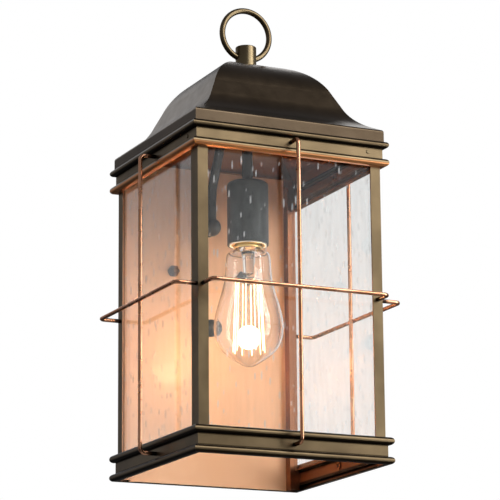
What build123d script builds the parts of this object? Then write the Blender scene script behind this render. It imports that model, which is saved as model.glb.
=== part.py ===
from build123d import *
import math
import os

os.makedirs("parts", exist_ok=True)

# Outdoor wall lantern. +Z is up, -Y is away from the wall, and the origin is on the wall plane
# at the centre of the mounting strap. All sizes are in millimetres.

# ---- the square body ----
body_half = 93.0          # from the lantern's axis to the outer faces of the corner posts
wall_gap = 10.0           # from the wall to the back of the corner posts
axis_y = -(wall_gap + body_half)
body_low = -207.5         # lowest edge of the bottom rails
glazing_low = -182.6      # top of the bottom rails
glazing_high = 72.0       # underside of the top rails
eaves = 95.9              # top of the top rails, where the roof sits
contact_gap = 0.1         # between pieces that only touch
thread_gap = 0.05         # between a thread and its nut

# ---- rails ----
top_web_out = 2.0         # how far the top rail's flat web stands out from the posts
top_nose_out = 6.7        # how far its two beads stand out
top_lower_bead = 7.2
top_upper_bead = 6.2
bottom_web_out = 1.6
bottom_nose_out = 6.2
bottom_lower_bead = 6.7
bottom_upper_bead = 7.2
bead_wall = 1.5           # metal left around the hollow inside of each bead
bead_flat = 1.0           # level strip along the open edge of each bead
nose_share = 0.48         # height of a bead's nose as a share of the bead, from its lower edge

# ---- posts, glass and back panel ----
post_width = 10.0
front_post_depth = 15.0   # the front posts' legs along the side panes are wider
post_wall = 1.5
back_post_wall = 1.2
glass_thick = 3.0
glass_low = -188.0
glass_high = 80.0
panel_thick = 1.2
panel_low = -206.8
panel_high = 104.0

# ---- roof ----
roof_half = 96.2
roof_sheet = 1.5
fascia_radius = 3.0
shelf_slope = 28.0
wall_slope = 67.0
shoulder_slope = 20.0
cove_start = (88.0, 111.3)
cove_radius = 46.0
dome_start = (60.5, 148.0)
dome_radius = 55.8
crown_half = 12.0
crown_high = 182.5

# ---- finial ----
stem_radius = 10.0
stem_high = 204.6
ring_mean_radius = 24.7
ring_wire_radius = 2.8
ring_centre = 216.7

# ---- copper guard wires ----
guard_radius = 1.9
guard_bend = 5.0
upright_out = 109.7       # axis to the centre of each upright wire
crossbar_out = upright_out + 2 * guard_radius
upright_high = 85.0
upright_low = -195.0
crossbar_level = -54.5
crossbar_reach = 88.25    # its ends go into the middle of the posts' faces

# ---- lamp holder ----
nipple_radius = 5.0
nipple_bore = 3.5
cup_radius = 19.5
cup_wall = 1.0
cup_high = 69.8
cup_low = 8.8
insulator_radius = 17.4
insulator_bore = 14.5
insulator_low = 8.3       # its rim stands just proud of the cup
insulator_rim_bore = 16.2
insulator_rim_deep = 2.0
shell_radius = 14.2
shell_bore = 13.5

# ---- bulb: 64 mm wide and 140 mm long, with a 26 mm screw base ----
bulb_tip = -108.0
bulb_length = 140.0
bulb_radius = 32.3
shoulder_radius = 18.2    # just under the holder
base_radius = 13.1
base_low = 5.2
bulb_wall = 0.8
contact_high = bulb_tip + bulb_length

# ---- wall fixing ----
strap_length = 105.0
strap_width = 24.0
strap_thick = 2.5
slot_spacing = 88.9
slot_length = 11.0
slot_radius = 2.3
stud_spacing = 69.85
stud_radius = 2.1
pan_half_width = 60.0
pan_low = -75.0
pan_high = 65.0
pan_sheet = 1.2
gasket_thick = 2.0
conduit_level = 45.4
conduit_radius = 4.5
conduit_bore = 3.5
elbow_radius = 9.0
lower_nut_level = -54.5
lower_nut_radius = 8.5
neck_radius = 6.0         # threaded neck of the ball elbow, through the panel and the pan

panel_back = axis_y + body_half
panel_front = panel_back - panel_thick
elbow_y = panel_front - elbow_radius - 0.8
sides = {"front": 0, "right": 90, "back": 180, "left": 270}


def outward(turn):
    """Unit vector out of one side of the body."""
    return (math.sin(math.radians(turn)), -math.cos(math.radians(turn)), 0)


def along(turn):
    """Unit vector along one side, to the right as seen from outside."""
    return (math.cos(math.radians(turn)), math.sin(math.radians(turn)), 0)


def section_plane(turn):
    """Cross-section plane of one side: x runs outwards from the axis, y runs up."""
    right = along(turn)
    return Plane(origin=(0, axis_y, 0), x_dir=outward(turn), z_dir=(-right[0], -right[1], 0))


def face_plane(turn, out):
    """Plane facing out of one side at a distance from the axis: x runs to the right, y runs up."""
    normal = outward(turn)
    origin = (normal[0] * out, axis_y + normal[1] * out, 0)
    return Plane(origin=origin, x_dir=along(turn), z_dir=normal)


def level_plane(turn, z):
    """Horizontal plane at a height: x runs along the side, y runs inwards through the axis."""
    return Plane(origin=(0, axis_y, z), x_dir=along(turn), z_dir=(0, 0, 1))


def axis_plane(z):
    """Horizontal plane centred on the lantern's axis."""
    return Plane(origin=(0, axis_y, z), x_dir=(1, 0, 0), z_dir=(0, 0, 1))


def save(part, name):
    part.label = name
    export_step(part, f"parts/{name}.step")


# ---- top and bottom rails: one rolled section with two hollow beads, mitred at the corners ----
clip_width = 6.0
clip_reaches = {
    "front": body_half - post_width - clip_width / 2 - 0.3,
    "right": body_half - front_post_depth - clip_width / 2 - 0.3,
    "left": body_half - front_post_depth - clip_width / 2 - 0.3,
}
rivet_radius = 1.2
rivet_head_radius = 1.9
rivet_head_high = 0.7
rivet_head_taper = 25
rivet_tail = 1.2          # behind the rail, through the clip


def rail(turn, low, high, lower_bead, upper_bead, web_out, nose_out, holes):
    """One side's rail between two heights, with (place along the side, height, radius) holes."""
    face = body_half
    web = face + web_out
    nose = face + nose_out
    hollow = nose - bead_wall
    web_low = low + lower_bead
    web_high = high - upper_bead
    low_middle = low + lower_bead * nose_share
    high_middle = high - upper_bead * (1 - nose_share)
    reach = body_half + 20.0
    with BuildPart() as piece:
        with BuildSketch(section_plane(turn)):
            with BuildLine():
                Line((face, low), (web + bead_flat, low))
                ThreePointArc((web + bead_flat, low), (nose, low_middle), (web, web_low))
                Line((web, web_low), (web, web_high))
                ThreePointArc((web, web_high), (nose, high_middle), (web + bead_flat, high))
                Line((web + bead_flat, high), (face, high))
                Line((face, high), (face, high - bead_wall))
                ThreePointArc((face, high - bead_wall), (hollow, high_middle), (face, web_high + bead_wall))
                Line((face, web_high + bead_wall), (face, web_low - bead_wall))
                ThreePointArc((face, web_low - bead_wall), (hollow, low_middle), (face, low + bead_wall))
                Line((face, low + bead_wall), (face, low))
            make_face()
        extrude(amount=reach, both=True)
        with BuildSketch(level_plane(turn, low - 1.0)):
            Polygon((0, 0), (-reach, -reach), (reach, -reach), align=None)
        extrude(amount=high - low + 2.0, mode=Mode.INTERSECT)
        for place, height, radius in holes:
            with BuildSketch(face_plane(turn, body_half - 1.0)):
                with Locations((place, height)):
                    Circle(radius)
            extrude(amount=web_out + 2.0, mode=Mode.SUBTRACT)
    return piece.part


for side, turn in sides.items():
    top_holes = []
    bottom_holes = []
    if side != "back":
        top_holes.append((clip_reaches[side], upright_high, rivet_radius + contact_gap))
        top_holes.append((0, upright_high, guard_radius + contact_gap))
        bottom_holes.append((0, upright_low, guard_radius + contact_gap))
    top_rail = rail(turn, glazing_high, eaves, top_lower_bead, top_upper_bead,
                    top_web_out, top_nose_out, top_holes)
    save(top_rail, f"top_rail_{side}")
    bottom_rail = rail(turn, body_low, glazing_low, bottom_lower_bead, bottom_upper_bead,
                       bottom_web_out, bottom_nose_out, bottom_holes)
    save(bottom_rail, f"bottom_rail_{side}")


# ---- front corner posts: bent angle, with holes for the crossbars' ends and the rail rivets ----
post_low = body_low + 0.5
post_high = eaves - 0.5

for side, mirror_sign in (("left", -1), ("right", 1)):
    with BuildPart() as front_post:
        with BuildSketch(axis_plane(post_low)):
            with BuildLine():
                outer = mirror_sign * body_half
                inner = mirror_sign * (body_half - post_wall)
                flange = mirror_sign * (body_half - post_width)
                Polyline(
                    (outer, -body_half),
                    (flange, -body_half),
                    (flange, -body_half + post_wall),
                    (inner, -body_half + post_wall),
                    (inner, -body_half + front_post_depth),
                    (outer, -body_half + front_post_depth),
                    close=True,
                )
            make_face()
        extrude(amount=post_high - post_low)
        end_holes = ((0, mirror_sign * crossbar_reach), (90 * mirror_sign, -mirror_sign * crossbar_reach))
        for face_turn, reach in end_holes:
            with BuildSketch(face_plane(face_turn, body_half - post_wall - 1.0)):
                with Locations((reach, crossbar_level)):
                    Circle(guard_radius + contact_gap)
            extrude(amount=post_wall + 2.0, mode=Mode.SUBTRACT)
    save(front_post.part, f"post_front_{side}")

# ---- back corner posts: square tube, which also closes the sides of the back panel ----
for side, mirror_sign in (("left", -1), ("right", 1)):
    centre = body_half - post_width / 2
    bore = post_width - 2 * back_post_wall
    with BuildPart() as back_post:
        with BuildSketch(axis_plane(post_low)):
            with Locations((mirror_sign * centre, centre)):
                Rectangle(post_width, post_width)
                Rectangle(bore, bore, mode=Mode.SUBTRACT)
        extrude(amount=post_high - post_low)
        with BuildSketch(face_plane(90 * mirror_sign, body_half - back_post_wall - 1.0)):
            with Locations((mirror_sign * crossbar_reach, crossbar_level)):
                Circle(guard_radius + contact_gap)
        extrude(amount=back_post_wall + 2.0, mode=Mode.SUBTRACT)
    save(back_post.part, f"post_back_{side}")

# ---- rivets: one through each glazed side's top rail into the clip at its right-hand end ----
with BuildPart() as rail_rivets:
    for side in ("front", "right", "left"):
        turn = sides[side]
        with BuildSketch(face_plane(turn, body_half - rivet_tail)):
            with Locations((clip_reaches[side], upright_high)):
                Circle(rivet_radius)
        extrude(amount=rivet_tail + top_web_out)
        with BuildSketch(face_plane(turn, body_half + top_web_out)):
            with Locations((clip_reaches[side], upright_high)):
                Circle(rivet_head_radius)
        extrude(amount=rivet_head_high, taper=rivet_head_taper)
save(rail_rivets.part, "rail_rivets")

# ---- seeded glass panes, the front one running across the ends of the side ones ----
pane_face = body_half - post_wall
with BuildPart() as glass_front:
    with BuildSketch(face_plane(0, pane_face - glass_thick)):
        with Locations((0, (glass_low + glass_high) / 2)):
            Rectangle(2 * (pane_face - 0.3), glass_high - glass_low)
    extrude(amount=glass_thick)
save(glass_front.part, "glass_front")

side_pane_front = -(pane_face - glass_thick - 0.3)
side_pane_back = body_half - post_width - 0.2
for side, turn in (("left", 270), ("right", 90)):
    run = side_pane_back - side_pane_front
    middle = (side_pane_back + side_pane_front) / 2
    with BuildPart() as side_pane:
        with BuildSketch(face_plane(turn, pane_face - glass_thick)):
            with Locations((middle if side == "right" else -middle, (glass_low + glass_high) / 2)):
                Rectangle(run, glass_high - glass_low)
        extrude(amount=glass_thick)
    save(side_pane.part, f"glass_{side}")

# ---- angle ledges inside the bottom rails, which the panes stand on ----
ledge_thick = 1.2
ledge_depth = 7.0
ledge_lip = 5.0           # how far it rises behind the rail
for side in ("front", "right", "left"):
    turn = sides[side]
    ledge_half = body_half - (post_width if side == "front" else front_post_depth) - 0.5
    with BuildPart() as ledge:
        with BuildSketch(section_plane(turn)):
            with BuildLine():
                Polyline(
                    (body_half, glass_low - ledge_thick),
                    (body_half, glass_low + ledge_lip),
                    (body_half - ledge_thick, glass_low + ledge_lip),
                    (body_half - ledge_thick, glass_low),
                    (body_half - ledge_depth, glass_low),
                    (body_half - ledge_depth, glass_low - ledge_thick),
                    close=True,
                )
            make_face()
        extrude(amount=ledge_half, both=True)
    save(ledge.part, f"glass_ledge_{side}")

# ---- spring clips behind the top rails, two on each pane, bent over the glass ----
clip_sheet = 0.8
clip_cut_wide = 14.0      # clears the middle of the section, leaving a clip at each end
clip_cut_tall = 24.0
clip_high = upright_high + 4.0
clip_low = glass_high - 5.0
with BuildPart() as pane_clips:
    for side in ("front", "right", "left"):
        turn = sides[side]
        clip_reach = clip_reaches[side]
        inner = pane_face - glass_thick
        with BuildSketch(section_plane(turn)):
            with BuildLine():
                Polyline(
                    (body_half, clip_high),
                    (body_half, glass_high + clip_sheet),
                    (inner, glass_high + clip_sheet),
                    (inner, clip_low),
                    (inner - clip_sheet, clip_low),
                    (inner - clip_sheet, glass_high + 2 * clip_sheet),
                    (body_half - clip_sheet, glass_high + 2 * clip_sheet),
                    (body_half - clip_sheet, clip_high),
                    close=True,
                )
            make_face()
        extrude(amount=clip_reach + clip_width / 2, both=True)
        with BuildSketch(section_plane(turn)):
            with Locations((body_half - 3.0, glass_high)):
                Rectangle(clip_cut_wide, clip_cut_tall)
        extrude(amount=clip_reach - clip_width / 2, both=True, mode=Mode.SUBTRACT)
        with BuildSketch(face_plane(turn, body_half - 2.0)):
            with Locations((clip_reach, upright_high)):
                Circle(rivet_radius + contact_gap)
        extrude(amount=3.0, mode=Mode.SUBTRACT)
save(pane_clips.part, "pane_clips")

# ---- copper back panel, seen through the glass, with the fixings' holes ----
with BuildPart() as back_panel:
    with BuildSketch(Plane.XZ.offset(-panel_back)):
        with Locations((0, (panel_low + panel_high) / 2)):
            Rectangle(2 * (body_half - post_width - 0.2), panel_high - panel_low)
        with Locations((-stud_spacing / 2, 0), (stud_spacing / 2, 0), (0, lower_nut_level)):
            Circle(stud_radius + contact_gap, mode=Mode.SUBTRACT)
        with Locations((0, conduit_level)):
            Circle(neck_radius + contact_gap, mode=Mode.SUBTRACT)
    extrude(amount=panel_thick)
save(back_panel.part, "back_panel")


# ---- roof: four ogee faces with mitred hips over a straight fascia ----
shelf_cos = math.cos(math.radians(shelf_slope))
shelf_sin = math.sin(math.radians(shelf_slope))
roof_corner = (roof_half, cove_start[1] - (roof_half - cove_start[0]) * shelf_sin / shelf_cos)
roof_low = eaves + contact_gap
bend_length = fascia_radius * math.tan(math.radians((90 - shelf_slope) / 2))
bend_low = (roof_half, roof_corner[1] - bend_length)
bend_high = (roof_half - bend_length * shelf_cos, roof_corner[1] + bend_length * shelf_sin)


def uphill(slope):
    """Direction towards the axis that climbs at a slope in degrees."""
    return (-math.cos(math.radians(slope)), math.sin(math.radians(slope)))


def roof_block(inset):
    """Solid under the roof's faces, drawn in by the sheet's thickness for its inside."""
    planes = (section_plane(90), section_plane(0))
    modes = (Mode.ADD, Mode.INTERSECT)
    with BuildPart() as block:
        for plane, mode in zip(planes, modes):
            with BuildSketch(plane):
                with BuildLine():
                    Line((0, roof_low), (roof_half, roof_low))
                    Line((roof_half, roof_low), bend_low)
                    TangentArc(bend_low, bend_high, tangent=(0, 1))
                    Line(bend_high, cove_start)
                    cove = JernArc(cove_start, uphill(shelf_slope), cove_radius, shelf_slope - wall_slope)
                    Line(cove @ 1, dome_start)
                    dome = JernArc(dome_start, uphill(wall_slope), dome_radius, wall_slope - shoulder_slope)
                    TangentArc(dome @ 1, (crown_half, crown_high), tangent=uphill(shoulder_slope))
                    Line((crown_half, crown_high), (0, crown_high))
                    Line((0, crown_high), (0, roof_low))
                make_face()
                mirror(about=Plane.YZ)
                if inset > 0:
                    offset(amount=-inset, mode=Mode.REPLACE)
                    with Locations((0, roof_low + inset / 2)):
                        Rectangle(2 * (roof_half - inset), 2 * inset)
            extrude(amount=roof_half + 10.0, both=True, mode=mode)
    return block.part


with BuildPart() as roof_shell:
    add(roof_block(0))
    add(roof_block(roof_sheet), mode=Mode.SUBTRACT)
    with BuildSketch(axis_plane(crown_high - 10.0)):
        Circle(nipple_radius + contact_gap)
    extrude(amount=20.0, mode=Mode.SUBTRACT)
save(roof_shell.part, "roof_shell")


# ---- copper guard wires: bent rods standing off the three glazed sides ----
def bent_wire(plane, points):
    """Round wire through four points with its two corners bent to the same radius."""
    with BuildPart() as wire:
        with BuildLine(plane) as route:
            FilletPolyline(*points, radius=guard_bend)
        start = route.line @ 0
        with BuildSketch(Plane(origin=start, z_dir=route.line % 0)):
            Circle(guard_radius)
        sweep(path=route.line)
    return wire.part


upright_end = body_half - 1.2
crossbar_end = body_half - post_wall + contact_gap
for side in ("front", "right", "left"):
    turn = sides[side]
    upright = bent_wire(
        section_plane(turn),
        (
            (upright_end, upright_high),
            (upright_out, upright_high),
            (upright_out, upright_low),
            (upright_end, upright_low),
        ),
    )
    save(upright, f"guard_upright_{side}")
    crossbar = bent_wire(
        level_plane(turn, crossbar_level),
        (
            (-crossbar_reach, -crossbar_end),
            (-crossbar_reach, -crossbar_out),
            (crossbar_reach, -crossbar_out),
            (crossbar_reach, -crossbar_end),
        ),
    )
    save(crossbar, f"guard_crossbar_{side}")

# ---- push nuts that lock the upright wires' ends behind the rails ----
push_nut_radius = 4.0
push_nut_thick = 0.9
with BuildPart() as push_nuts:
    for side in ("front", "right", "left"):
        for level in (upright_high, upright_low):
            with BuildSketch(face_plane(sides[side], body_half - 1.0)):
                with Locations((0, level)):
                    Circle(push_nut_radius)
                    Circle(guard_radius + thread_gap, mode=Mode.SUBTRACT)
            extrude(amount=push_nut_thick)
save(push_nuts.part, "push_nuts")


# ---- finial: a turned stem on the crown with a ring of round bar through it ----
ring_axis = Axis((0, axis_y, ring_centre), (0, 1, 0))
with BuildPart() as finial_stem:
    with BuildSketch(axis_plane(crown_high)):
        Circle(stem_radius)
    extrude(amount=stem_high - crown_high)
    fillet(finial_stem.edges().group_by(Axis.Z)[-1], 1.0)
    with BuildSketch(axis_plane(crown_high)):
        Circle(nipple_radius + contact_gap)
    extrude(amount=4.5, mode=Mode.SUBTRACT)
    with BuildSketch(axis_plane(ring_centre)):
        with Locations((ring_mean_radius, 0)):
            Circle(ring_wire_radius + contact_gap)
    revolve(axis=ring_axis, revolution_arc=360, mode=Mode.SUBTRACT)
save(finial_stem.part, "finial_stem")

with BuildPart() as finial_ring:
    with BuildSketch(axis_plane(ring_centre)):
        with Locations((ring_mean_radius, 0)):
            Circle(ring_wire_radius)
    revolve(axis=ring_axis, revolution_arc=360)
save(finial_ring.part, "finial_ring")


# ---- turned pieces on the lantern's axis ----
def tube(low, high, radius, bore):
    """Plain round tube between two heights."""
    with BuildPart() as piece:
        with BuildSketch(axis_plane(low)):
            Circle(radius)
            if bore > 0:
                Circle(bore, mode=Mode.SUBTRACT)
        extrude(amount=high - low)
    return piece.part


def hex_nut(plane, across_flats, thickness, bore):
    """Plain hexagon nut standing on a plane."""
    with BuildPart() as nut:
        with BuildSketch(plane):
            RegularPolygon(across_flats / 2, 6, major_radius=False)
            Circle(bore, mode=Mode.SUBTRACT)
        extrude(amount=thickness)
    return nut.part


# ---- threaded tube that hangs the socket from the crown, with its washer, nuts and wiring hub ----
inside_crown = crown_high - roof_sheet
washer_thick = 1.6
washer_radius = 10.0
tube_nut_flats = 14.0
tube_nut_thick = 4.0
cup_top_thick = 1.5
hub_radius = 12.0
hub_high = 169.0
hub_low = 152.0
nipple_low = cup_high - cup_top_thick - 6.0
nipple = tube(nipple_low, crown_high + 4.0, nipple_radius, nipple_bore)
save(nipple, "hanging_tube")

crown_washer = tube(inside_crown - washer_thick, inside_crown, washer_radius, nipple_radius + contact_gap)
save(crown_washer, "crown_washer")

crown_nut_low = inside_crown - washer_thick - tube_nut_thick
crown_nut = hex_nut(axis_plane(crown_nut_low), tube_nut_flats, tube_nut_thick, nipple_radius + thread_gap)
save(crown_nut, "crown_nut")

conduit_entry = (hub_high + hub_low) / 2
with BuildPart() as wiring_hub:
    with BuildSketch(axis_plane(hub_low)):
        Circle(hub_radius)
    extrude(amount=hub_high - hub_low)
    fillet(wiring_hub.edges().group_by(Axis.Z)[-1], 2.0)
    fillet(wiring_hub.edges().group_by(Axis.Z)[0], 2.0)
    with BuildSketch(axis_plane(hub_low)):
        Circle(nipple_radius + thread_gap)
    extrude(amount=hub_high - hub_low, mode=Mode.SUBTRACT)
    with BuildSketch(face_plane(180, nipple_radius)):
        with Locations((0, conduit_entry)):
            Circle(conduit_radius + thread_gap)
    extrude(amount=hub_radius, mode=Mode.SUBTRACT)
save(wiring_hub.part, "wiring_hub")

hub_nut_low = hub_low - tube_nut_thick
hub_nut = hex_nut(axis_plane(hub_nut_low), tube_nut_flats, tube_nut_thick, nipple_radius + thread_gap)
save(hub_nut, "hub_nut")

# ---- wiring conduit: bent tube from the ball elbow up the back panel and forward to the hub ----
conduit_slope = 62.0
conduit_bend = 45.0
hub_bend = 20.0
conduit_foot = conduit_level + 3.0
hub_bend_start_z = conduit_entry - hub_bend * (1 - math.cos(math.radians(conduit_slope)))
with BuildPart() as conduit_arm:
    with BuildLine(Plane.YZ) as conduit_route:
        rise = Line((elbow_y, conduit_foot), (elbow_y, glazing_high - 2.0))
        lean = JernArc(rise @ 1, (0, 1), conduit_bend, 90 - conduit_slope)
        slope_start = lean @ 1
        run = (hub_bend_start_z - slope_start.Z) / math.tan(math.radians(conduit_slope))
        slope_end = (slope_start.Y - run, hub_bend_start_z)
        Line((slope_start.Y, slope_start.Z), slope_end)
        level = JernArc(slope_end, uphill(conduit_slope), hub_bend, conduit_slope)
        Line(((level @ 1).Y, (level @ 1).Z), (axis_y + nipple_radius + 3.0, conduit_entry))
    with BuildSketch(Plane(origin=(0, elbow_y, conduit_foot), z_dir=(0, 0, 1))):
        Circle(conduit_radius)
        Circle(conduit_bore, mode=Mode.SUBTRACT)
    sweep(path=conduit_route.line)
save(conduit_arm.part, "conduit_arm")

# ---- ball elbow on the back panel, with a neck through to the wall box and its lock nut ----
neck_end = -3.5
elbow_flange_radius = elbow_radius - 1.0
elbow_flange_thick = 2.0
with BuildPart() as ball_elbow:
    with BuildSketch(Plane.XZ.offset(-elbow_y)):
        with Locations((0, conduit_level)):
            Circle(neck_radius)
    extrude(amount=elbow_y - neck_end)
    with Locations((0, elbow_y, conduit_level)):
        Sphere(elbow_radius)
    with BuildSketch(Plane.XZ.offset(-panel_front)):
        with Locations((0, conduit_level)):
            Circle(elbow_flange_radius)
    extrude(amount=elbow_flange_thick)
    with BuildSketch(Plane(origin=(0, elbow_y, conduit_foot - 0.5), z_dir=(0, 0, 1))):
        Circle(conduit_radius + thread_gap)
    extrude(amount=elbow_radius, mode=Mode.SUBTRACT)
    with BuildSketch(Plane(origin=(0, elbow_y, conduit_level), z_dir=(0, 0, 1))):
        Circle(conduit_bore)
    extrude(amount=elbow_radius, mode=Mode.SUBTRACT)
    with BuildSketch(Plane.XZ.offset(-elbow_y)):
        with Locations((0, conduit_level)):
            Circle(conduit_bore)
    extrude(amount=elbow_y - neck_end, mode=Mode.SUBTRACT)
save(ball_elbow.part, "ball_elbow")

# ---- lamp holder: painted cup, ceramic insulator, brass screw shell and spring contact ----
cup_round = 3.5
cup_step_in = 3.0         # step around the inside of the cup, under its rounded top
cup_step_high = 2.5
with BuildPart() as socket_cup:
    with BuildSketch(axis_plane(cup_low)):
        Circle(cup_radius)
    extrude(amount=cup_high - cup_low)
    fillet(socket_cup.edges().group_by(Axis.Z)[-1], cup_round)
    with BuildSketch(axis_plane(cup_low)):
        Circle(cup_radius - cup_wall)
    extrude(amount=cup_high - cup_top_thick - cup_step_high - cup_low, mode=Mode.SUBTRACT)
    with BuildSketch(axis_plane(cup_low)):
        Circle(cup_radius - cup_wall - cup_step_in)
    extrude(amount=cup_high - cup_top_thick - cup_low, mode=Mode.SUBTRACT)
    with BuildSketch(axis_plane(cup_high - 5.0)):
        Circle(nipple_radius + contact_gap)
    extrude(amount=10.0, mode=Mode.SUBTRACT)
save(socket_cup.part, "socket_cup")

cup_nut_low = cup_high - cup_top_thick - tube_nut_thick
cup_nut = hex_nut(axis_plane(cup_nut_low), tube_nut_flats, tube_nut_thick, nipple_radius + thread_gap)
save(cup_nut, "socket_nut")

insulator_high = nipple_low - 1.0
insulator_roof = insulator_high - 12.0
with BuildPart() as socket_insulator:
    with BuildSketch(axis_plane(insulator_low)):
        Circle(insulator_radius)
    extrude(amount=insulator_high - insulator_low)
    fillet(socket_insulator.edges().group_by(Axis.Z)[-1], 2.0)
    with BuildSketch(axis_plane(insulator_low)):
        Circle(insulator_bore)
    extrude(amount=insulator_roof - insulator_low, mode=Mode.SUBTRACT)
    with BuildSketch(axis_plane(insulator_low)):
        Circle(insulator_rim_bore)
    extrude(amount=insulator_rim_deep, mode=Mode.SUBTRACT)
save(socket_insulator.part, "socket_insulator")

shell_low = insulator_low + 0.6
with BuildPart() as screw_shell:
    with BuildSketch(axis_plane(shell_low)):
        Circle(shell_radius)
        Circle(shell_bore, mode=Mode.SUBTRACT)
    extrude(amount=insulator_roof - shell_low)
    with BuildSketch(axis_plane(shell_low)):
        Circle(insulator_rim_bore - contact_gap)
        Circle(shell_bore, mode=Mode.SUBTRACT)
    extrude(amount=1.2)
save(screw_shell.part, "screw_shell")

bulb_axis = Axis((0, axis_y, 0), (0, 0, 1))
bulb_section = Plane(origin=(0, axis_y, 0), x_dir=(1, 0, 0), z_dir=(0, -1, 0))
contact_strip = 0.6
contact_touch = contact_high + 0.3
with BuildPart() as centre_contact:
    with BuildSketch(bulb_section):
        with BuildLine():
            Polyline(
                (-8.0, insulator_roof),
                (8.0, insulator_roof),
                (8.0, insulator_roof - contact_strip),
                (3.0, insulator_roof - contact_strip),
                (-2.5, contact_touch + contact_strip),
                (4.0, contact_touch + contact_strip),
                (4.0, contact_touch),
                (-4.5, contact_touch),
                (-0.5, insulator_roof - contact_strip),
                (-8.0, insulator_roof - contact_strip),
                close=True,
            )
        make_face()
    extrude(amount=2.5, both=True)
save(centre_contact.part, "centre_contact")

# ---- bulb: screw base, black insulator, contact, envelope, stem, supports and filament ----
thread_pitch = 3.629
thread_depth = 0.7
thread_count = 5
base_high = base_low + 21.0
base_rim = 1.5            # plain band under the thread
base_sheet = 1.2
base_collar_radius = 9.0  # where the base closes on its black insulator
bulb_contact_radius = 4.5
bulb_contact_thick = 1.2
with BuildPart() as bulb_base:
    with BuildSketch(bulb_section):
        with BuildLine():
            Line((base_radius, base_low), (base_radius, base_low + base_rim))
            thread_low = base_low + base_rim
            for turn_number in range(thread_count):
                start = thread_low + turn_number * thread_pitch
                ThreePointArc(
                    (base_radius, start),
                    (base_radius - thread_depth, start + thread_pitch / 2),
                    (base_radius, start + thread_pitch),
                )
            thread_high = thread_low + thread_count * thread_pitch
            Line((base_radius, thread_high), (base_collar_radius, base_high + 1.5))
            Line((base_collar_radius, base_high + 1.5), (base_collar_radius - 0.4, base_high + 1.2))
            Line((base_collar_radius - 0.4, base_high + 1.2), (base_radius - base_sheet, thread_high - 0.5))
            Line((base_radius - base_sheet, thread_high - 0.5), (base_radius - base_sheet, base_low))
            Line((base_radius - base_sheet, base_low), (base_radius, base_low))
        make_face()
    revolve(axis=bulb_axis, revolution_arc=360)
save(bulb_base.part, "bulb_base")

with BuildPart() as bulb_insulator:
    with BuildSketch(bulb_section):
        with BuildLine():
            Polyline(
                (0, base_high - 1.0),
                (7.5, base_high - 1.0),
                (8.4, base_high + 1.6),
                (5.0, contact_high - bulb_contact_thick),
                (0, contact_high - bulb_contact_thick),
                close=True,
            )
        make_face()
    revolve(axis=bulb_axis, revolution_arc=360)
save(bulb_insulator.part, "bulb_insulator")

bulb_contact = tube(contact_high - bulb_contact_thick, contact_high, bulb_contact_radius, 0)
save(bulb_contact, "bulb_contact")

bulb_neck = base_radius - base_sheet - contact_gap
neck_high = base_low + 6.0


def bulb_body(inset):
    """Solid of revolution under the envelope's surface, drawn in by the glass's thickness."""
    with BuildPart() as body:
        with BuildSketch(bulb_section):
            with BuildLine():
                wall = Spline(
                    (0, bulb_tip + inset),
                    (9.5 - inset * 0.3, bulb_tip + 3.4 + inset),
                    (bulb_radius - 5.6 - inset * 0.8, bulb_tip + 17.5 + inset * 0.5),
                    (bulb_radius - inset, bulb_tip + 31.0),
                    (bulb_radius - 6.6 - inset, bulb_tip + 70.0),
                    (shoulder_radius + 3.4 - inset, bulb_tip + 95.0),
                    (shoulder_radius - inset, base_low - 4.0),
                    (bulb_neck - inset, base_low - 0.3),
                    tangents=((1, 0.0), (-0.5, 1)),
                )
                Line(wall @ 1, (bulb_neck - inset, neck_high))
                Line((bulb_neck - inset, neck_high), (0, neck_high))
                Line((0, neck_high), (0, bulb_tip + inset))
            make_face()
        revolve(axis=bulb_axis, revolution_arc=360)
    return body.part


with BuildPart() as bulb_glass:
    add(bulb_body(0))
    add(bulb_body(bulb_wall), mode=Mode.SUBTRACT)
save(bulb_glass.part, "bulb_glass")

# glass stem inside the neck, flared at the foot and pinched around the lead wires at the top
stem_foot = base_low + 1.0
stem_pinch = base_low - 24.0
stem_button = base_low - 33.0
with BuildPart() as bulb_stem:
    with BuildSketch(bulb_section):
        with BuildLine():
            Polyline(
                (0, stem_foot),
                (9.0, stem_foot),
                (9.0, stem_foot - 1.0),
                (6.6, stem_foot - 4.0),
                (5.6, stem_foot - 9.0),
                (4.6, stem_pinch),
                (1.6, stem_pinch - 1.5),
                (1.6, stem_button + 2.6),
                (2.6, stem_button + 1.2),
                (2.6, stem_button - 1.2),
                (1.2, stem_button - 2.4),
                (0, stem_button - 2.4),
                close=True,
            )
        make_face()
    revolve(axis=bulb_axis, revolution_arc=360)
save(bulb_stem.part, "bulb_stem")

# filament strands strung between two rings of fine support wires
strand_count = 10
strand_high = bulb_tip + 82.0
strand_low = bulb_tip + 14.0
strand_top_reach = 12.0
strand_low_reach = 15.0
strand_radius = 0.35
with BuildPart() as bulb_filament:
    for strand in range(strand_count):
        bearing = math.radians(360 / strand_count * (strand + 0.5))
        across = math.cos(bearing)
        inward = math.sin(bearing)
        top = (strand_top_reach * across, axis_y + strand_top_reach * inward, strand_high)
        low = (strand_low_reach * across, axis_y + strand_low_reach * inward, strand_low)
        lean = (low[0] - top[0], low[1] - top[1], low[2] - top[2])
        with BuildSketch(Plane(origin=top, z_dir=lean)):
            Circle(strand_radius)
        extrude(amount=math.hypot(*lean))
save(bulb_filament.part, "bulb_filament")

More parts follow.
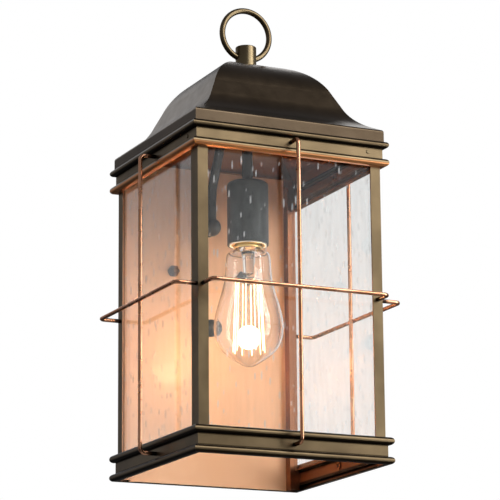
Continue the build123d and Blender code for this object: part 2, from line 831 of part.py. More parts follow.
support_wire = 0.7
support_low = strand_high + 0.5
support_bore = 1.75       # leaves the middle clear for the glass stem
with BuildPart() as filament_supports:
    with BuildSketch(axis_plane(support_low)):
        Circle(strand_top_reach + 0.4)
        Circle(strand_top_reach - 0.4, mode=Mode.SUBTRACT)
    extrude(amount=support_wire)
    with BuildSketch(axis_plane(support_low)):
        with PolarLocations(0, 3):
            with Locations((strand_top_reach / 2 + 1.0, 0)):
                Rectangle(strand_top_reach - 2.0, support_wire)
        Circle(support_bore, mode=Mode.SUBTRACT)
    extrude(amount=support_wire)
save(filament_supports.part, "filament_supports")

# ---- wall fixing: slotted strap, two studs, shallow pan with a gasket, and nuts on the panel ----
strap_corner = 4.0
ground_radius = 2.0
ground_level = -strap_width / 2 + 5.0
stud_back = 0.3           # the studs and the ground screw stop just short of the wall
with BuildPart() as mounting_strap:
    with BuildSketch(Plane.XZ):
        RectangleRounded(strap_length, strap_width, strap_corner)
        with Locations((-slot_spacing / 2, 0), (slot_spacing / 2, 0)):
            SlotOverall(slot_length, 2 * slot_radius, mode=Mode.SUBTRACT)
        with Locations((-stud_spacing / 2, 0), (stud_spacing / 2, 0)):
            Circle(stud_radius + thread_gap, mode=Mode.SUBTRACT)
        with Locations((0, ground_level)):
            Circle(ground_radius + thread_gap, mode=Mode.SUBTRACT)
    extrude(amount=strap_thick)
save(mounting_strap.part, "mounting_strap")

stud_tip = panel_front - 7.5
with BuildPart() as strap_studs:
    with BuildSketch(Plane.XZ.offset(stud_back)):
        with Locations((-stud_spacing / 2, 0), (stud_spacing / 2, 0)):
            Circle(stud_radius)
    extrude(amount=-stud_tip - stud_back)
    chamfer(strap_studs.edges().group_by(Axis.Y)[0], 0.5)
save(strap_studs.part, "strap_studs")

with BuildPart() as ground_screw:
    with BuildSketch(Plane.XZ.offset(stud_back)):
        with Locations((0, ground_level)):
            Circle(ground_radius)
    extrude(amount=strap_thick)
    with BuildSketch(Plane.XZ.offset(strap_thick)):
        with Locations((0, ground_level)):
            RegularPolygon(3.6, 6)
    extrude(amount=2.6)
    with BuildSketch(Plane.XZ.offset(strap_thick + 1.4)):
        with Locations((0, ground_level)):
            Rectangle(8.0, 1.0)
    extrude(amount=2.0, mode=Mode.SUBTRACT)
save(ground_screw.part, "ground_screw")

pan_middle = (pan_low + pan_high) / 2
pan_tall = pan_high - pan_low
pan_corner = 6.0
gasket_width = 4.0
inner_corner = pan_corner - pan_sheet
with BuildPart() as wall_pan:
    with BuildSketch(Plane.XZ.offset(gasket_thick)):
        with Locations((0, pan_middle)):
            RectangleRounded(2 * pan_half_width, pan_tall, pan_corner)
    extrude(amount=-panel_back - gasket_thick)
    with BuildSketch(Plane.XZ.offset(gasket_thick)):
        with Locations((0, pan_middle)):
            RectangleRounded(2 * (pan_half_width - pan_sheet), pan_tall - 2 * pan_sheet, inner_corner)
    extrude(amount=-panel_back - gasket_thick - pan_sheet, mode=Mode.SUBTRACT)
    with BuildSketch(Plane.XZ):
        with Locations((-stud_spacing / 2, 0), (stud_spacing / 2, 0), (0, lower_nut_level)):
            Circle(stud_radius + contact_gap)
        with Locations((0, conduit_level)):
            Circle(neck_radius + contact_gap)
    extrude(amount=-panel_back + 1.0, mode=Mode.SUBTRACT)
save(wall_pan.part, "wall_pan")

with BuildPart() as wall_gasket:
    with BuildSketch(Plane.XZ):
        with Locations((0, pan_middle)):
            RectangleRounded(2 * pan_half_width, pan_tall, pan_corner)
            inside_wide = 2 * (pan_half_width - gasket_width)
            RectangleRounded(inside_wide, pan_tall - 2 * gasket_width, 3.0, mode=Mode.SUBTRACT)
    extrude(amount=gasket_thick)
save(wall_gasket.part, "wall_gasket")

elbow_nut_bearing = panel_back + pan_sheet
elbow_nut_flats = 17.0
elbow_nut_thick = 3.0
elbow_nut_seat = Plane(origin=(0, elbow_nut_bearing, conduit_level), x_dir=(1, 0, 0), z_dir=(0, 1, 0))
elbow_nut = hex_nut(elbow_nut_seat, elbow_nut_flats, elbow_nut_thick, neck_radius + thread_gap)
save(elbow_nut, "elbow_nut")

cap_nut_flats = 9.5
cap_nut_hex = 5.0
cap_nut_dome = 3.8
cap_nut_bore = 7.8
with BuildPart() as cap_nuts:
    for place in (-stud_spacing / 2, stud_spacing / 2):
        with BuildSketch(Plane.XZ.offset(-panel_front)):
            with Locations((place, 0)):
                RegularPolygon(cap_nut_flats / 2, 6, major_radius=False)
        extrude(amount=cap_nut_hex)
        with BuildSketch(Plane.XZ.offset(-panel_front + cap_nut_hex)):
            with Locations((place, 0)):
                Circle(cap_nut_flats / 2 - 0.3)
        extrude(amount=cap_nut_dome, taper=24)
        with BuildSketch(Plane.XZ.offset(-panel_front)):
            with Locations((place, 0)):
                Circle(stud_radius + thread_gap)
        extrude(amount=cap_nut_bore, mode=Mode.SUBTRACT)
save(cap_nuts.part, "cap_nuts")

lower_nut_y = panel_front - lower_nut_radius + 1.5
lower_bore = 9.0
bolt_reach = 8.5          # how far the bolt goes into the ball
with BuildPart() as lower_ball_nut:
    with Locations((0, lower_nut_y, lower_nut_level)):
        Sphere(lower_nut_radius)
    with BuildSketch(Plane.XZ.offset(-panel_front - 10.0)):
        with Locations((0, lower_nut_level)):
            Rectangle(40.0, 40.0)
    extrude(amount=10.0, mode=Mode.SUBTRACT)
    with BuildSketch(Plane.XZ.offset(-panel_front)):
        with Locations((0, lower_nut_level)):
            Circle(stud_radius + thread_gap)
    extrude(amount=lower_bore, mode=Mode.SUBTRACT)
save(lower_ball_nut.part, "lower_ball_nut")

with BuildPart() as lower_bolt:
    with BuildSketch(Plane.XZ.offset(-panel_front + bolt_reach)):
        with Locations((0, lower_nut_level)):
            Circle(stud_radius)
    extrude(amount=panel_back + pan_sheet - panel_front + bolt_reach, dir=(0, 1, 0))
    with BuildSketch(Plane.XZ.offset(-panel_back - pan_sheet)):
        with Locations((0, lower_nut_level)):
            RegularPolygon(4.2, 6)
    extrude(amount=3.0, dir=(0, 1, 0))
save(lower_bolt.part, "lower_bolt")
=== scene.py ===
import math

import bmesh
import bpy
from mathutils import Matrix, Vector

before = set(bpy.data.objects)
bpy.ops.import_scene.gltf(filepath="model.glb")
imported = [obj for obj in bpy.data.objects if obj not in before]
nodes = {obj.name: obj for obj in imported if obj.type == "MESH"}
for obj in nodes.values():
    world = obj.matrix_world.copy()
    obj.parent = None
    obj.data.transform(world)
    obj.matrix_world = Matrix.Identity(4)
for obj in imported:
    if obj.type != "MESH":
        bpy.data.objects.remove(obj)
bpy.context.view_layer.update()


# Roof: pressed steel in four ogee faces, sprayed in a satin oil-rubbed bronze that is faintly
# mottled and a little more golden where it is thin. Its inside has the copper coat of the panel,
# painted much darker as shade.
def new_finish(name, colour, metallic, roughness):
    """A new material and its Principled shader, with plain starting values."""
    finish = bpy.data.materials.new(name)
    finish.use_nodes = True
    shader = finish.node_tree.nodes["Principled BSDF"]
    shader.inputs["Base Color"].default_value = (*colour, 1.0)
    shader.inputs["Metallic"].default_value = metallic
    shader.inputs["Roughness"].default_value = roughness
    return finish, shader


def add_noise(finish, scale, detail, stretch=(1.0, 1.0, 1.0)):
    """Noise on the piece's own coordinates, with a Mapping node to stretch it."""
    tree = finish.node_tree
    place = tree.nodes.new("ShaderNodeTexCoord")
    mapping = tree.nodes.new("ShaderNodeMapping")
    mapping.inputs["Scale"].default_value = stretch
    noise = tree.nodes.new("ShaderNodeTexNoise")
    noise.inputs["Scale"].default_value = scale
    noise.inputs["Detail"].default_value = detail
    tree.links.new(place.outputs["Object"], mapping.inputs["Vector"])
    tree.links.new(mapping.outputs["Vector"], noise.inputs["Vector"])
    return noise.outputs["Fac"]


def between(finish, factor, dark, light):
    """A colour ramp from a dark colour to a light one."""
    tree = finish.node_tree
    ramp = tree.nodes.new("ShaderNodeValToRGB")
    ramp.color_ramp.elements[0].position = 0.35
    ramp.color_ramp.elements[0].color = (*dark, 1.0)
    ramp.color_ramp.elements[1].position = 0.66
    ramp.color_ramp.elements[1].color = (*light, 1.0)
    tree.links.new(factor, ramp.inputs["Fac"])
    return ramp.outputs["Color"]


def spread(finish, factor, low, high, start=0.0, stop=1.0):
    """Map a factor from one range onto another, held at its ends."""
    tree = finish.node_tree
    reach = tree.nodes.new("ShaderNodeMapRange")
    reach.inputs["From Min"].default_value = start
    reach.inputs["From Max"].default_value = stop
    reach.inputs["To Min"].default_value = low
    reach.inputs["To Max"].default_value = high
    tree.links.new(factor, reach.inputs["Value"])
    return reach.outputs["Result"]


def roughen(finish, shader, height, strength, distance):
    """Fine relief from a height socket."""
    tree = finish.node_tree
    bump = tree.nodes.new("ShaderNodeBump")
    bump.inputs["Strength"].default_value = strength
    bump.inputs["Distance"].default_value = distance
    tree.links.new(height, bump.inputs["Height"])
    tree.links.new(bump.outputs["Normal"], shader.inputs["Normal"])


def combine(finish, operation, first, second):
    """One Math node; second may be a socket or a number."""
    tree = finish.node_tree
    step = tree.nodes.new("ShaderNodeMath")
    step.operation = operation
    tree.links.new(first, step.inputs[0])
    if isinstance(second, float):
        step.inputs[1].default_value = second
    else:
        tree.links.new(second, step.inputs[1])
    return step.outputs["Value"]


def overlay(finish, mask, under, over):
    """Put a plain colour over a colour socket where the mask is 1."""
    tree = finish.node_tree
    mix = tree.nodes.new("ShaderNodeMix")
    mix.data_type = "RGBA"
    tree.links.new(mask, mix.inputs["Factor"])
    tree.links.new(under, mix.inputs["A"])
    mix.inputs["B"].default_value = (*over, 1.0)
    return mix.outputs["Result"]


def cover(node, finish):
    """Give a CAD node one finish on all its slots."""
    mesh = nodes[node].data
    mesh.materials.clear()
    mesh.materials.append(finish)


lantern_middle = (0.0, -0.103, 0.0)
inward_margin = -0.01


def facing_in(finish, flat):
    """1 on faces that look towards the lantern's axis, 0 on its outside."""
    tree = finish.node_tree
    place = tree.nodes.new("ShaderNodeTexCoord")
    from_middle = tree.nodes.new("ShaderNodeVectorMath")
    from_middle.operation = "SUBTRACT"
    from_middle.inputs[1].default_value = lantern_middle
    tree.links.new(place.outputs["Object"], from_middle.inputs[0])
    level = tree.nodes.new("ShaderNodeVectorMath")
    level.operation = "MULTIPLY"
    level.inputs[1].default_value = (1.0, 1.0, 0.0 if flat else 1.0)
    tree.links.new(from_middle.outputs["Vector"], level.inputs[0])
    geometry = tree.nodes.new("ShaderNodeNewGeometry")
    outwards = tree.nodes.new("ShaderNodeVectorMath")
    outwards.operation = "DOT_PRODUCT"
    tree.links.new(geometry.outputs["Normal"], outwards.inputs[0])
    tree.links.new(level.outputs["Vector"], outwards.inputs[1])
    return combine(finish, "LESS_THAN", outwards.outputs["Value"], inward_margin)


def bronze_finish(name, dark, light, grain, lining=None, flat=True):
    """Satin bronze paint, with a fine brushed grain and a copper lining where it is given."""
    finish, shader = new_finish(name, light, 1.0, 0.40)
    tree = finish.node_tree
    mottle = add_noise(finish, 24.0, 4.0)
    colour = between(finish, mottle, dark, light)
    if lining is not None:
        colour = overlay(finish, facing_in(finish, flat), colour, lining)
    tree.links.new(colour, shader.inputs["Base Color"])
    brushing = add_noise(finish, 110.0, 3.0, grain)
    tree.links.new(spread(finish, brushing, 0.25, 0.38), shader.inputs["Roughness"])
    roughen(finish, shader, brushing, 0.10, 0.0003)
    return finish


roof_dark = (0.068, 0.048, 0.030)
roof_light = (0.094, 0.068, 0.044)
# The copper coat made much darker, painted shade, for the faces turned towards the lamp.
shaded_copper_coat = (0.27, 0.115, 0.058)
bronze_roof = bronze_finish("bronze_roof", roof_dark, roof_light, (1.0, 1.0, 1.0), shaded_copper_coat, False)
cover("roof_shell", bronze_roof)

# Finial: a turned stem screwed down on the crown, and a ring of round bar that stands in it,
# both in the same bronze paint, rubbed a little brighter. The top rails' rivets match it.
bronze_dark = (0.126, 0.091, 0.051)
finial_light = (0.20, 0.155, 0.088)
bronze_finial = bronze_finish("bronze_finial", bronze_dark, finial_light, (1.0, 1.0, 0.3))
cover("finial_stem", bronze_finial)
cover("finial_ring", bronze_finial)
cover("rail_rivets", bronze_finial)

# Bottom rails: rolled sections in bronze paint, mitred at the corners and copper coated on the
# side that faces the lamp, in a dark copper with painted shade in it. Black bands of painted
# shade lie under and over each bead.
bronze_light = (0.192, 0.139, 0.077)
# Heights of the black bands of painted shade under and over the bottom rails' beads.
bottom_shade_bands = ((-0.2090, -0.2056), (-0.2030, -0.1996), (-0.1906, -0.1876), (-0.1852, -0.1810))


def painted_shade_band(finish, place, colour, low, high):
    """Darken a level band with black painted shade, under or over a bead."""
    edge = 0.0006
    shade_black = (0.022, 0.015, 0.009)
    above = spread(finish, place, 0.0, 1.0, low - edge, low + edge)
    below = spread(finish, place, 1.0, 0.0, high - edge, high + edge)
    band = combine(finish, "MULTIPLY", above, below)
    return overlay(finish, band, colour, shade_black)


def rail_finish(name, bands):
    """The bronze finish of a rail with black bands of painted shade; also its shader and height."""
    finish = bronze_finish(name, bronze_dark, bronze_light, (0.3, 0.3, 1.0), shaded_copper_coat)
    tree = finish.node_tree
    shader = tree.nodes["Principled BSDF"]
    colour = shader.inputs["Base Color"].links[0].from_socket
    place = tree.nodes.new("ShaderNodeTexCoord")
    split = tree.nodes.new("ShaderNodeSeparateXYZ")
    tree.links.new(place.outputs["Object"], split.inputs["Vector"])
    for low, high in bands:
        colour = painted_shade_band(finish, split.outputs["Z"], colour, low, high)
    tree.links.new(colour, shader.inputs["Base Color"])
    return finish, shader, split.outputs["Z"]


bronze_rails, _, _ = rail_finish("bronze_rails", bottom_shade_bands)
for side in ("front", "right", "back", "left"):
    cover(f"bottom_rail_{side}", bronze_rails)

# Top rails: the same rolled section, mitred in the same way. Under their lower beads a bright
# copper is painted on as the lamp's light falling there: painted lamplight.
# Heights of the black bands of painted shade above and below the top rails' beads.
top_shade_bands = ((0.0770, 0.0799), (0.0889, 0.0908), (0.0931, 0.0970))
# Painted lamplight: the colour of the lamp's light on the rails' undersides.
lamplight_copper = (0.80, 0.35, 0.14)
lamplight_edge = 0.0005


def top_rail_finish(name, lamplight_top):
    """The rails' finish with painted lamplight, a bright copper, on everything below a height."""
    finish, shader, height = rail_finish(name, top_shade_bands)
    rail_colour = shader.inputs["Base Color"].links[0].from_socket
    lamplit_mask = spread(finish, height, 1.0, 0.0, lamplight_top - lamplight_edge, lamplight_top + lamplight_edge)
    lamplit_colour = overlay(finish, lamplit_mask, rail_colour, lamplight_copper)
    finish.node_tree.links.new(lamplit_colour, shader.inputs["Base Color"])
    return finish


# The painted lamplight reaches a little higher on the side rails.
bronze_top = top_rail_finish("bronze_top_rails", 0.0751)
bronze_top_sides = top_rail_finish("bronze_top_rails_sides", 0.0762)
cover("top_rail_front", bronze_top)
cover("top_rail_back", bronze_top)
cover("top_rail_right", bronze_top_sides)
cover("top_rail_left", bronze_top_sides)

# Corner posts: bent angle at the front and square tube at the back, bronze outside and copper
# coated inside, with the ledges that the panes stand on. The coat is painted darker as shade on
# all but the left back post, where it is painted bright as the lamp's light on it.
post_grain = (1.0, 1.0, 0.15)
lamplit_copper_coat = (0.86, 0.46, 0.27)
bronze_posts = bronze_finish("bronze_posts", bronze_dark, bronze_light, post_grain, shaded_copper_coat)
cover("post_front_left", bronze_posts)
cover("post_front_right", bronze_posts)
# Left back post: its copper coat painted bright, as lit by the lamp, and less metallic.
bronze_lamplit_post = bronze_finish("bronze_lamplit_post", bronze_dark, bronze_light, post_grain, lamplit_copper_coat)
lined = facing_in(bronze_lamplit_post, True)
post_shader = bronze_lamplit_post.node_tree.nodes["Principled BSDF"]
coat_metal = spread(bronze_lamplit_post, lined, 1.0, 0.45)
bronze_lamplit_post.node_tree.links.new(coat_metal, post_shader.inputs["Metallic"])
cover("post_back_left", bronze_lamplit_post)
cover("post_back_right", bronze_posts)
for side in ("front", "right", "left"):
    cover(f"glass_ledge_{side}", bronze_posts)

# Wall pan: a shallow pressed steel box that stands the back panel off the wall. It is sprayed
# with the roof, and is bolted up behind the panel.
cover("wall_pan", bronze_roof)

# Back panel: satin copper sheet that throws the lamp's light forward. It is brushed upwards and
# lacquered, so it shows a soft reflection with a fainter sharp one over it. Towards its top it is
# painted darker and browner, a painted shade under the roof.
copper_sheet, sheet_shader = new_finish("copper_sheet", (0.93, 0.56, 0.36), 0.45, 0.36)
tarnish = add_noise(copper_sheet, 7.0, 3.0, (1.0, 1.0, 0.5))
sheet_colour = between(copper_sheet, tarnish, (0.93, 0.52, 0.29), (0.97, 0.57, 0.34))
sheet_place = copper_sheet.node_tree.nodes.new("ShaderNodeTexCoord")
sheet_axes = copper_sheet.node_tree.nodes.new("ShaderNodeSeparateXYZ")
copper_sheet.node_tree.links.new(sheet_place.outputs["Object"], sheet_axes.inputs["Vector"])
# Painted shade: the sheet browns from this height up to the next.
shade_low = -0.01
shade_high = 0.085
shade_brown = (0.42, 0.20, 0.13)
top_shade = spread(copper_sheet, sheet_axes.outputs["Z"], 0.0, 0.38, shade_low, shade_high)
sheet_colour = overlay(copper_sheet, top_shade, sheet_colour, shade_brown)
copper_sheet.node_tree.links.new(sheet_colour, sheet_shader.inputs["Base Color"])
brushed = add_noise(copper_sheet, 160.0, 2.0, (1.0, 1.0, 0.05))
copper_sheet.node_tree.links.new(spread(copper_sheet, brushed, 0.44, 0.56), sheet_shader.inputs["Roughness"])
sheet_shader.inputs["Coat Weight"].default_value = 0.35
sheet_shader.inputs["Coat Roughness"].default_value = 0.08
roughen(copper_sheet, sheet_shader, brushed, 0.05, 0.0002)
cover("back_panel", copper_sheet)

# Guard wires: round rod, copper plated and darkened at random by handling, with painted shade,
# black, where its ends meet the posts and rails.
copper_rod, rod_shader = new_finish("copper_rod", (0.70, 0.33, 0.19), 1.0, 0.26)
handling = add_noise(copper_rod, 45.0, 3.0)
rod_colour = between(copper_rod, handling, (0.64, 0.29, 0.155), (0.82, 0.43, 0.26))
rod_place = copper_rod.node_tree.nodes.new("ShaderNodeTexCoord")
rod_from = copper_rod.node_tree.nodes.new("ShaderNodeVectorMath")
rod_from.operation = "SUBTRACT"
rod_from.inputs[1].default_value = lantern_middle
copper_rod.node_tree.links.new(rod_place.outputs["Object"], rod_from.inputs[0])
rod_size = copper_rod.node_tree.nodes.new("ShaderNodeVectorMath")
rod_size.operation = "ABSOLUTE"
copper_rod.node_tree.links.new(rod_from.outputs["Vector"], rod_size.inputs[0])
rod_axes = copper_rod.node_tree.nodes.new("ShaderNodeSeparateXYZ")
copper_rod.node_tree.links.new(rod_size.outputs["Vector"], rod_axes.inputs["Vector"])
rod_reach = combine(copper_rod, "MAXIMUM", rod_axes.outputs["X"], rod_axes.outputs["Y"])
# Painted shade: black on the rod within this reach of the middle, gone by the next.
shade_within = 0.0975
shade_gone_at = 0.1020
rod_end_shade = spread(copper_rod, rod_reach, 1.0, 0.0, shade_within, shade_gone_at)
rod_colour = overlay(copper_rod, rod_end_shade, rod_colour, (0.045, 0.026, 0.018))
copper_rod.node_tree.links.new(rod_colour, rod_shader.inputs["Base Color"])
copper_rod.node_tree.links.new(spread(copper_rod, handling, 0.20, 0.34), rod_shader.inputs["Roughness"])
for side in ("front", "right", "left"):
    cover(f"guard_upright_{side}", copper_rod)
    cover(f"guard_crossbar_{side}", copper_rod)


# Panes: clear seeded glass, stood on the ledges and clipped at the top. Its bubbles were
# stretched upwards as the sheet was drawn and its faces are slightly wavy. Its cut ends are made
# opaque and painted copper, a painted reflection of the posts that they stand against.
seed_scale = 330.0
seed_squeeze = 0.075
seed_size = 0.108
seed_clear = 0.42
post_reflection_copper = (0.42, 0.17, 0.08)


def pane_finish(name, in_plane):
    """Clear drawn glass with stretched seeds, on the two directions of its own plane."""
    finish, shader = new_finish(name, (0.965, 0.97, 0.965), 0.0, 0.0)
    tree = finish.node_tree
    along = "X" if in_plane[0] else "Y"
    shader.inputs["IOR"].default_value = 1.5
    place = tree.nodes.new("ShaderNodeTexCoord")
    split = tree.nodes.new("ShaderNodeSeparateXYZ")
    tree.links.new(place.outputs["Object"], split.inputs["Vector"])
    flat = tree.nodes.new("ShaderNodeCombineXYZ")
    tree.links.new(split.outputs[along], flat.inputs["X"])
    tree.links.new(combine(finish, "MULTIPLY", split.outputs["Z"], seed_squeeze), flat.inputs["Y"])
    seeds = tree.nodes.new("ShaderNodeTexVoronoi")
    seeds.voronoi_dimensions = "2D"
    seeds.inputs["Scale"].default_value = seed_scale
    tree.links.new(flat.outputs["Vector"], seeds.inputs["Vector"])
    luck = tree.nodes.new("ShaderNodeSeparateColor")
    tree.links.new(seeds.outputs["Color"], luck.inputs["Color"])
    size = spread(finish, luck.outputs["Red"], 0.0, seed_size, 0.30, 1.0)
    inside = combine(finish, "LESS_THAN", seeds.outputs["Distance"], size)
    clear = spread(finish, inside, 1.0, seed_clear)
    geometry = tree.nodes.new("ShaderNodeNewGeometry")
    facing = tree.nodes.new("ShaderNodeSeparateXYZ")
    tree.links.new(geometry.outputs["True Normal"], facing.inputs["Vector"])
    endways = combine(finish, "MULTIPLY", facing.outputs[along], facing.outputs[along])
    # Cut ends: made opaque, with the posts' copper painted on as a reflection.
    cut_end = combine(finish, "GREATER_THAN", endways, 0.25)
    seen_through = combine(finish, "MULTIPLY", clear, spread(finish, cut_end, 1.0, 0.0))
    tree.links.new(seen_through, shader.inputs["Transmission Weight"])
    streaks = add_noise(finish, 260.0, 3.0, (in_plane[0], in_plane[1], 0.10))
    drawn = between(finish, streaks, (0.935, 0.94, 0.935), (0.985, 0.99, 0.985))
    reflected_edge = overlay(finish, cut_end, drawn, post_reflection_copper)
    tree.links.new(reflected_edge, shader.inputs["Base Color"])
    waves = add_noise(finish, 40.0, 2.0, (in_plane[0], in_plane[1], 0.25))
    roughen(finish, shader, waves, 0.05, 0.0006)
    return finish


front_glass = pane_finish("seeded_glass_front", (1.0, 0.0))
side_glass = pane_finish("seeded_glass_side", (0.0, 1.0))
cover("glass_front", front_glass)
cover("glass_right", side_glass)
cover("glass_left", side_glass)

# Lamp holder's cup, hanging tube, wiring hub, conduit and elbow, and the cap and ball nuts on
# the back panel: turned or bent steel in satin dark grey paint.
holder_paint, holder_shader = new_finish("holder_paint", (0.055, 0.060, 0.060), 0.2, 0.45)
holder_grain = add_noise(holder_paint, 140.0, 3.0)
holder_colour = between(holder_paint, holder_grain, (0.042, 0.046, 0.046), (0.066, 0.071, 0.071))
holder_paint.node_tree.links.new(holder_colour, holder_shader.inputs["Base Color"])
roughen(holder_paint, holder_shader, holder_grain, 0.12, 0.0003)
for node in ("socket_cup", "hanging_tube", "wiring_hub", "conduit_arm", "ball_elbow", "cap_nuts",
             "lower_ball_nut"):
    cover(node, holder_paint)

# Socket insulator: a pressed block of unglazed white porcelain inside the cup, with its rim
# just proud of it.
porcelain, porcelain_shader = new_finish("porcelain", (0.82, 0.81, 0.77), 0.0, 0.5)
porcelain_grain = add_noise(porcelain, 60.0, 4.0)
porcelain_colour = between(porcelain, porcelain_grain, (0.80, 0.79, 0.75), (0.90, 0.89, 0.86))
porcelain.node_tree.links.new(porcelain_colour, porcelain_shader.inputs["Base Color"])
cover("socket_insulator", porcelain)

# Brass: the holder's drawn screw shell and sprung contact, the lamp's base and its contact, and
# the ground screw in the strap.
brass, brass_shader = new_finish("brass", (0.75, 0.56, 0.24), 1.0, 0.28)
brass_grain = add_noise(brass, 80.0, 3.0)
brass_colour = between(brass, brass_grain, (0.72, 0.53, 0.20), (0.85, 0.66, 0.30))
brass.node_tree.links.new(brass_colour, brass_shader.inputs["Base Color"])
for node in ("screw_shell", "centre_contact", "bulb_base", "bulb_contact", "ground_screw"):
    cover(node, brass)

# Zinc-plated steel: the nuts and washer on the tube, the strap with its studs and the bolt
# behind the panel, all but hidden, and the lamp's fine wire supports. The clips and push nuts
# are painted with the posts.
zinc, zinc_shader = new_finish("zinc", (0.30, 0.29, 0.28), 1.0, 0.4)
zinc_grain = add_noise(zinc, 120.0, 4.0)
zinc_colour = between(zinc, zinc_grain, (0.22, 0.215, 0.21), (0.36, 0.35, 0.34))
zinc.node_tree.links.new(zinc_colour, zinc_shader.inputs["Base Color"])
for node in ("crown_washer", "crown_nut", "hub_nut", "socket_nut", "mounting_strap", "strap_studs",
             "elbow_nut", "lower_bolt", "filament_supports"):
    cover(node, zinc)
cover("pane_clips", bronze_posts)
cover("push_nuts", bronze_posts)

# Gasket: a frame of black closed-cell foam, stuck to the pan's rim and squeezed against the
# wall.
foam, foam_shader = new_finish("foam", (0.02, 0.02, 0.02), 0.0, 0.9)
foam_cells = add_noise(foam, 400.0, 5.0)
foam_colour = between(foam, foam_cells, (0.012, 0.012, 0.012), (0.035, 0.035, 0.035))
foam.node_tree.links.new(foam_colour, foam_shader.inputs["Base Color"])
roughen(foam, foam_shader, foam_cells, 0.5, 0.0005)
cover("wall_gasket", foam)

# Lamp: a clear blown envelope with a glass stem fused into its neck, cemented into a screw
# base, which a black vitrified insulator closes.
lamp_glass, lamp_shader = new_finish("lamp_glass", (1.0, 0.99, 0.975), 0.0, 0.0)
lamp_shader.inputs["Transmission Weight"].default_value = 1.0
lamp_shader.inputs["IOR"].default_value = 1.46
blown = add_noise(lamp_glass, 60.0, 2.0, (1.0, 1.0, 0.3))
roughen(lamp_glass, lamp_shader, blown, 0.06, 0.0004)
cover("bulb_glass", lamp_glass)
cover("bulb_stem", lamp_glass)

vitrite, vitrite_shader = new_finish("vitrite", (0.015, 0.015, 0.018), 0.0, 0.15)
vitrite_cloud = add_noise(vitrite, 90.0, 3.0)
vitrite_colour = between(vitrite, vitrite_cloud, (0.010, 0.010, 0.012), (0.024, 0.023, 0.028))
vitrite.node_tree.links.new(vitrite_colour, vitrite_shader.inputs["Base Color"])
cover("bulb_insulator", vitrite)

# Filament strands: glowing wire strung between fine supports. The panel and the panes
# show its glow but no sharp reflection of it.
filament_glow, filament_shader = new_finish("filament_glow", (0.9, 0.7, 0.4), 0.0, 0.5)
filament_shader.inputs["Emission Color"].default_value = (1.0, 0.86, 0.55, 1.0)
filament_shader.inputs["Emission Strength"].default_value = 3.2
filament_coil = add_noise(filament_glow, 900.0, 2.0)
filament_colour = between(filament_glow, filament_coil, (0.85, 0.60, 0.30), (0.95, 0.78, 0.48))
filament_glow.node_tree.links.new(filament_colour, filament_shader.inputs["Base Color"])
cover("bulb_filament", filament_glow)
nodes["bulb_filament"].visible_glossy = False

# Camera: below the lantern and to its left, looking up at it with a long lens and turned very
# slightly on its side.
camera_place = (-1.00235, -2.21465, -0.56353)
camera_data = bpy.data.cameras.new("camera")
camera_data.lens = 183.81
camera_data.sensor_width = 36.0
camera_data.clip_end = 50.0
camera = bpy.data.objects.new("camera", camera_data)
bpy.context.scene.collection.objects.link(camera)
camera_yaw = math.radians(25.449)
camera_pitch = math.radians(13.659)
camera_roll = math.radians(-0.511)
level_share = math.cos(camera_pitch)
ahead = Vector((math.sin(camera_yaw) * level_share,
                math.cos(camera_yaw) * level_share,
                math.sin(camera_pitch)))
right = ahead.cross(Vector((0.0, 0.0, 1.0))).normalized()
up = right.cross(ahead)
right_rolled = right * math.cos(camera_roll) + up * math.sin(camera_roll)
up_rolled = up * math.cos(camera_roll) - right * math.sin(camera_roll)
turned = Matrix((right_rolled, up_rolled, -ahead)).transposed()
camera.matrix_world = Matrix.Translation(camera_place) @ turned.to_4x4()
bpy.context.scene.camera = camera

# Floor: a plain pale studio floor, well below the lantern, which hangs on its wall face with
# nothing under it.
floor_half = 2.5
floor_level = -3.3
floor_mesh = bpy.data.meshes.new("floor")
floor_bm = bmesh.new()
bmesh.ops.create_grid(floor_bm, x_segments=1, y_segments=1, size=floor_half)
bmesh.ops.translate(floor_bm, verts=floor_bm.verts, vec=(0.0, 0.0, floor_level))
floor_bm.to_mesh(floor_mesh)
floor_bm.free()
floor = bpy.data.objects.new("floor", floor_mesh)
bpy.context.scene.collection.objects.link(floor)
floor_finish, _ = new_finish("floor_finish", (0.86, 0.86, 0.85), 0.0, 0.8)
floor_mesh.materials.append(floor_finish)

# Studio light: the lantern hangs in front of white, in a dimmer room that lights it, with a key
# box high in front to the right, a tall box lower on the right, a weak one high behind and a
# small one over the roof's right shoulder.
world = bpy.data.worlds.new("studio")
bpy.context.scene.world = world
world.use_nodes = True
room = world.node_tree
surround = room.nodes["Background"]
room_place = room.nodes.new("ShaderNodeTexCoord")
room_height = room.nodes.new("ShaderNodeSeparateXYZ")
room.links.new(room_place.outputs["Generated"], room_height.inputs["Vector"])
room_shade = room.nodes.new("ShaderNodeValToRGB")
room_shade.color_ramp.elements[0].position = 0.40
room_shade.color_ramp.elements[0].color = (0.04, 0.04, 0.04, 1.0)
room_shade.color_ramp.elements[1].position = 0.95
room_shade.color_ramp.elements[1].color = (0.16, 0.16, 0.17, 1.0)
horizon = room_shade.color_ramp.elements.new(0.58)
horizon.color = (0.28, 0.28, 0.29, 1.0)
height_share = room.nodes.new("ShaderNodeMapRange")
height_share.inputs["From Min"].default_value = -1.0
room.links.new(room_height.outputs["Z"], height_share.inputs["Value"])
room.links.new(height_share.outputs["Result"], room_shade.inputs["Fac"])
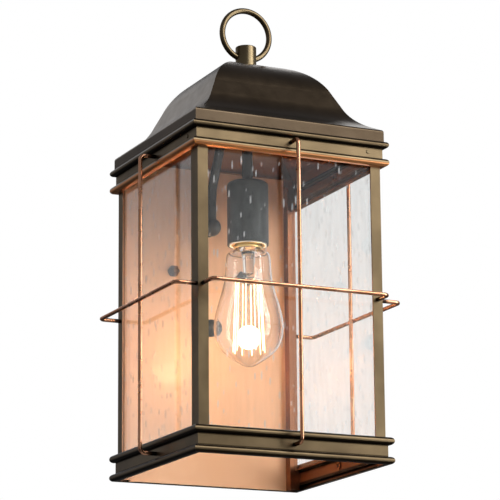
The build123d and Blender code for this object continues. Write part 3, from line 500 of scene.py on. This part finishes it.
room.links.new(room_shade.outputs["Color"], surround.inputs["Color"])
seen = room.nodes.new("ShaderNodeBackground")
seen.inputs["Color"].default_value = (1.0, 1.0, 1.0, 1.0)
ray = room.nodes.new("ShaderNodeLightPath")
seen_directly = room.nodes.new("ShaderNodeMath")
seen_directly.operation = "MAXIMUM"
choose = room.nodes.new("ShaderNodeMixShader")
room.links.new(ray.outputs["Is Camera Ray"], seen_directly.inputs[0])
room.links.new(ray.outputs["Is Transmission Ray"], seen_directly.inputs[1])
room.links.new(seen_directly.outputs["Value"], choose.inputs["Fac"])
room.links.new(surround.outputs["Background"], choose.inputs[1])
room.links.new(seen.outputs["Background"], choose.inputs[2])
room.links.new(choose.outputs["Shader"], room.nodes["World Output"].inputs["Surface"])
bpy.context.scene.view_settings.view_transform = "Standard"


def soft_box(name, place, width, height, brightness):
    """A rectangular soft light that looks at the lantern, by its brightness per square metre."""
    data = bpy.data.lights.new(name, "AREA")
    data.shape = "RECTANGLE"
    data.size = width
    data.size_y = height
    data.energy = brightness * math.pi * width * height
    box = bpy.data.objects.new(name, data)
    bpy.context.scene.collection.objects.link(box)
    box.location = place
    box.rotation_euler = (Vector(lantern_middle) - Vector(place)).to_track_quat("-Z", "Y").to_euler()
    box.visible_camera = False


soft_box("key_box", (0.85, -1.55, 1.15), 1.5, 0.9, 5.5)
soft_box("right_box", (1.5, -1.5, 0.0), 0.9, 1.8, 5.8)
soft_box("back_box", (-0.3, 1.9, 1.2), 1.2, 0.6, 0.7)
soft_box("cove_box", (0.75, 0.75, 0.95), 0.5, 0.5, 1.6)

# Lamp's own light: a warm glow from the lower half of the filament, inside the envelope, which
# doesn't show as a spot in anything shiny.
glow_place = (0.0, -0.103, -0.080)
glow_data = bpy.data.lights.new("lamp_glow", "POINT")
glow_data.energy = 3.1
glow_data.color = (1.0, 0.68, 0.38)
glow_data.shadow_soft_size = 0.012
glow = bpy.data.objects.new("lamp_glow", glow_data)
bpy.context.scene.collection.objects.link(glow)
glow.location = glow_place
glow.visible_glossy = False
